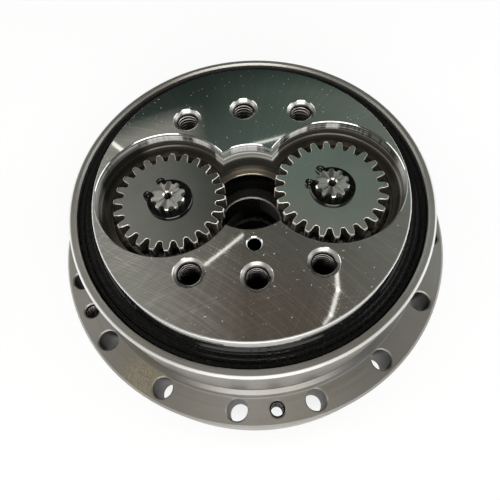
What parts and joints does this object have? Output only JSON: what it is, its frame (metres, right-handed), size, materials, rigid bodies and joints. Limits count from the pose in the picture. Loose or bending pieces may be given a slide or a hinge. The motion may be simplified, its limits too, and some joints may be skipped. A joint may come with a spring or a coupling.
{
  "type": "cycloidal reducer",
  "caption": "Two-stage cycloidal reducer with a drilled case flange, an oil-sealed output face and spur gears sunk in the output shaft.",
  "frame": {"origin": "centre of the case's base, on the output axis", "axes": "+Z along the output axis towards the output face, +X through the crankshafts"},
  "size_m": [0.19, 0.19, 0.076],
  "materials": {
    "case_steel": "turned and ground steel, oiled",
    "shaft_steel": "finely turned steel with oiled scratches",
    "flange_steel": "turned steel",
    "gear_steel": "ground gear steel",
    "crank_steel": "ground steel",
    "disc_steel": "ground steel",
    "race_steel": "ground bearing steel",
    "roller_steel": "polished bearing steel",
    "plain_steel": "plain steel",
    "oiled_spring_steel": "black oiled spring steel",
    "bolt_black": "black oxide",
    "cage_brass": "brass-coloured cage",
    "seal_rubber": "glossy black nitrile rubber"
  },
  "bodies": {
    "case": {"case": "case_steel", "ring_pins": "roller_steel", "oil_seal": "seal_rubber", "seal_insert": "plain_steel", "garter_spring": "plain_steel", "main_outer_race_upper": "race_steel", "main_outer_race_lower": "race_steel"},
    "carrier": {"output_shaft": "shaft_steel", "hold_flange": "flange_steel", "clamp_bolts": "bolt_black", "dowel_pins": "roller_steel", "main_inner_race_upper": "race_steel", "main_inner_race_lower": "race_steel", "crank_cup_upper_left": "race_steel", "crank_cup_upper_right": "race_steel", "crank_cup_lower_left": "race_steel", "crank_cup_lower_right": "race_steel", "cup_snap_rings": "oiled_spring_steel"},
    "main_ball_set_upper": {"main_balls_upper": "roller_steel", "main_cage_upper": "cage_brass"},
    "main_ball_set_lower": {"main_balls_lower": "roller_steel", "main_cage_lower": "cage_brass"},
    "crank_left": {"crankshaft_left": "crank_steel", "spur_gear_left": "gear_steel", "gear_circlip_left": "oiled_spring_steel", "crank_cone_upper_left": "race_steel", "crank_cone_lower_left": "race_steel", "crank_washers_left": "plain_steel"},
    "crank_roller_set_upper_left": {"crank_rollers_upper_left": "roller_steel", "crank_cage_upper_left": "cage_brass"},
    "crank_roller_set_lower_left": {"crank_rollers_lower_left": "roller_steel", "crank_cage_lower_left": "cage_brass"},
    "crank_right": {"crankshaft_right": "crank_steel", "spur_gear_right": "gear_steel", "gear_circlip_right": "oiled_spring_steel", "crank_cone_upper_right": "race_steel", "crank_cone_lower_right": "race_steel", "crank_washers_right": "plain_steel"},
    "crank_roller_set_upper_right": {"crank_rollers_upper_right": "roller_steel", "crank_cage_upper_right": "cage_brass"},
    "crank_roller_set_lower_right": {"crank_rollers_lower_right": "roller_steel", "crank_cage_lower_right": "cage_brass"},
    "disc_upper": {"cycloid_disc_upper": "disc_steel"},
    "needle_set_upper_left": {"needles_upper_left": "roller_steel", "needle_cage_upper_left": "cage_brass"},
    "needle_set_upper_right": {"needles_upper_right": "roller_steel", "needle_cage_upper_right": "cage_brass"},
    "disc_lower": {"cycloid_disc_lower": "disc_steel"},
    "needle_set_lower_left": {"needles_lower_left": "roller_steel", "needle_cage_lower_left": "cage_brass"},
    "needle_set_lower_right": {"needles_lower_right": "roller_steel", "needle_cage_lower_right": "cage_brass"}
  },
  "joints": [
    {"name": "output_rotation", "type": "hinge", "parent": "case", "child": "carrier", "pos_m": [0, 0, 0], "axis": [0, 0, 1], "continuous": true},
    {"name": "main_balls_upper_orbit", "type": "hinge", "parent": "case", "child": "main_ball_set_upper", "pos_m": [0, 0, 0], "axis": [0, 0, 1], "continuous": true},
    {"name": "main_balls_lower_orbit", "type": "hinge", "parent": "case", "child": "main_ball_set_lower", "pos_m": [0, 0, 0], "axis": [0, 0, 1], "continuous": true},
    {"name": "crank_left_rotation", "type": "hinge", "parent": "carrier", "child": "crank_left", "pos_m": [-0.036, 0, 0], "axis": [0, 0, 1], "continuous": true},
    {"name": "crank_rollers_upper_left_orbit", "type": "hinge", "parent": "carrier", "child": "crank_roller_set_upper_left", "pos_m": [-0.036, 0, 0], "axis": [0, 0, 1], "continuous": true},
    {"name": "crank_rollers_lower_left_orbit", "type": "hinge", "parent": "carrier", "child": "crank_roller_set_lower_left", "pos_m": [-0.036, 0, 0], "axis": [0, 0, 1], "continuous": true},
    {"name": "crank_right_rotation", "type": "hinge", "parent": "carrier", "child": "crank_right", "pos_m": [0.036, 0, 0], "axis": [0, 0, 1], "continuous": true},
    {"name": "crank_rollers_upper_right_orbit", "type": "hinge", "parent": "carrier", "child": "crank_roller_set_upper_right", "pos_m": [0.036, 0, 0], "axis": [0, 0, 1], "continuous": true},
    {"name": "crank_rollers_lower_right_orbit", "type": "hinge", "parent": "carrier", "child": "crank_roller_set_lower_right", "pos_m": [0.036, 0, 0], "axis": [0, 0, 1], "continuous": true},
    {"name": "disc_upper_orbit", "type": "hinge", "parent": "crank_left", "child": "disc_upper", "pos_m": [-0.03649, -0.00121, 0], "axis": [0, 0, 1], "continuous": true},
    {"name": "needles_upper_left_orbit", "type": "hinge", "parent": "crank_left", "child": "needle_set_upper_left", "pos_m": [-0.03649, -0.00121, 0], "axis": [0, 0, 1], "continuous": true},
    {"name": "needles_upper_right_orbit", "type": "hinge", "parent": "crank_right", "child": "needle_set_upper_right", "pos_m": [0.03551, -0.00121, 0], "axis": [0, 0, 1], "continuous": true},
    {"name": "disc_lower_orbit", "type": "hinge", "parent": "crank_left", "child": "disc_lower", "pos_m": [-0.03551, 0.00121, 0], "axis": [0, 0, 1], "continuous": true},
    {"name": "needles_lower_left_orbit", "type": "hinge", "parent": "crank_left", "child": "needle_set_lower_left", "pos_m": [-0.03551, 0.00121, 0], "axis": [0, 0, 1], "continuous": true},
    {"name": "needles_lower_right_orbit", "type": "hinge", "parent": "crank_right", "child": "needle_set_lower_right", "pos_m": [0.03649, 0.00121, 0], "axis": [0, 0, 1], "continuous": true}
  ],
  "couplings": [
    {"joint": "main_balls_upper_orbit", "follows": "output_rotation", "ratio": 0.46947},
    {"joint": "main_balls_lower_orbit", "follows": "output_rotation", "ratio": 0.46947},
    {"joint": "crank_left_rotation", "follows": "output_rotation", "ratio": -40},
    {"joint": "crank_rollers_upper_left_orbit", "follows": "output_rotation", "ratio": -17.311},
    {"joint": "crank_rollers_lower_left_orbit", "follows": "output_rotation", "ratio": -17.311},
    {"joint": "crank_right_rotation", "follows": "output_rotation", "ratio": -40},
    {"joint": "crank_rollers_upper_right_orbit", "follows": "output_rotation", "ratio": -17.311},
    {"joint": "crank_rollers_lower_right_orbit", "follows": "output_rotation", "ratio": -17.311},
    {"joint": "disc_upper_orbit", "follows": "output_rotation", "ratio": 40},
    {"joint": "needles_upper_left_orbit", "follows": "output_rotation", "ratio": 22.759},
    {"joint": "needles_upper_right_orbit", "follows": "output_rotation", "ratio": 22.759},
    {"joint": "disc_lower_orbit", "follows": "output_rotation", "ratio": 40},
    {"joint": "needles_lower_left_orbit", "follows": "output_rotation", "ratio": 22.759},
    {"joint": "needles_lower_right_orbit", "follows": "output_rotation", "ratio": 22.759}
  ]
}
